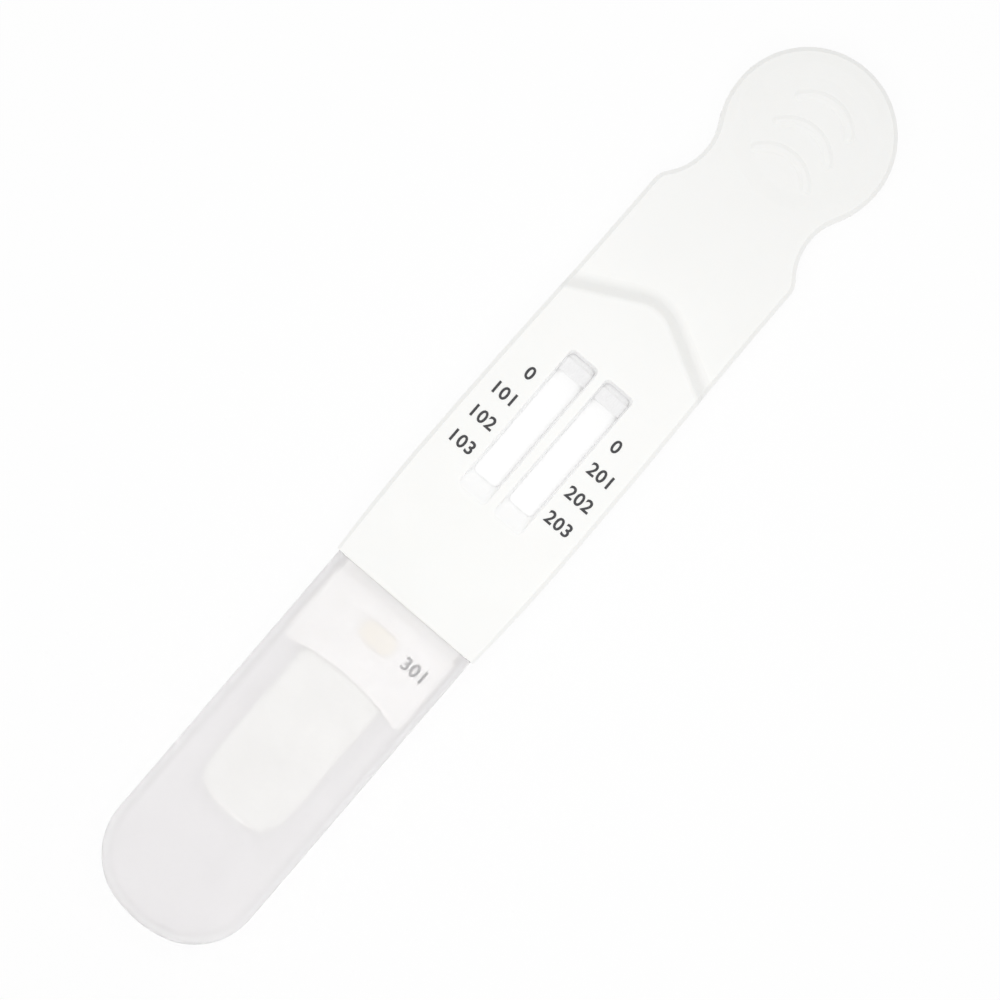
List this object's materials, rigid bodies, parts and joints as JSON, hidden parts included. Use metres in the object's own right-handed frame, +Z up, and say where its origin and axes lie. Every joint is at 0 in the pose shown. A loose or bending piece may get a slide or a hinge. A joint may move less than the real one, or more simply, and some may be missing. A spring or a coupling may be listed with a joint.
{
  "type": "lateral flow test cassette",
  "caption": "Flat white oral-fluid lateral flow cassette with side-by-side reading windows, a thumb grip, and a frosted pull-off cap over its collection sponge.",
  "frame": {"origin": "on the resting plane, under the middle of the overall length and width with the cap on", "axes": "+Y along the length towards the handle, +X to the right seen from above with the handle up, +Z up out of the reading windows"},
  "size_m": [0.0262, 0.156, 0.0083],
  "materials": {
    "housing_white": "satin moulded polystyrene",
    "cap_frosted": "frosted translucent polypropylene",
    "sponge_white": "fine open-cell foam",
    "alcohol_cream": "reagent paper",
    "carrier_film": "plain film",
    "card_white": "plain plastic card",
    "pad_white": "glass fibre pad",
    "conjugate_rose": "dried conjugate on glass fibre",
    "membrane_white": "nitrocellulose membrane",
    "absorbent_grey": "cotton wicking pad"
  },
  "bodies": {
    "cassette": {"top_cover": "housing_white", "bottom_cover": "housing_white", "collector_sponge": "sponge_white", "alcohol_pad": "alcohol_cream", "alcohol_pad_carrier": "carrier_film", "left_backing_card": "card_white", "left_sample_pad": "pad_white", "left_conjugate_pad": "conjugate_rose", "left_membrane": "membrane_white", "left_absorbent_pad": "absorbent_grey", "right_backing_card": "card_white", "right_sample_pad": "pad_white", "right_conjugate_pad": "conjugate_rose", "right_membrane": "membrane_white", "right_absorbent_pad": "absorbent_grey"},
    "cap": {"cap": "cap_frosted"}
  },
  "joints": [
    {"name": "cap_slide", "type": "slide", "parent": "cassette", "child": "cap", "axis": [0, -1, 0], "range_m": [0, 0.045]}
  ]
}
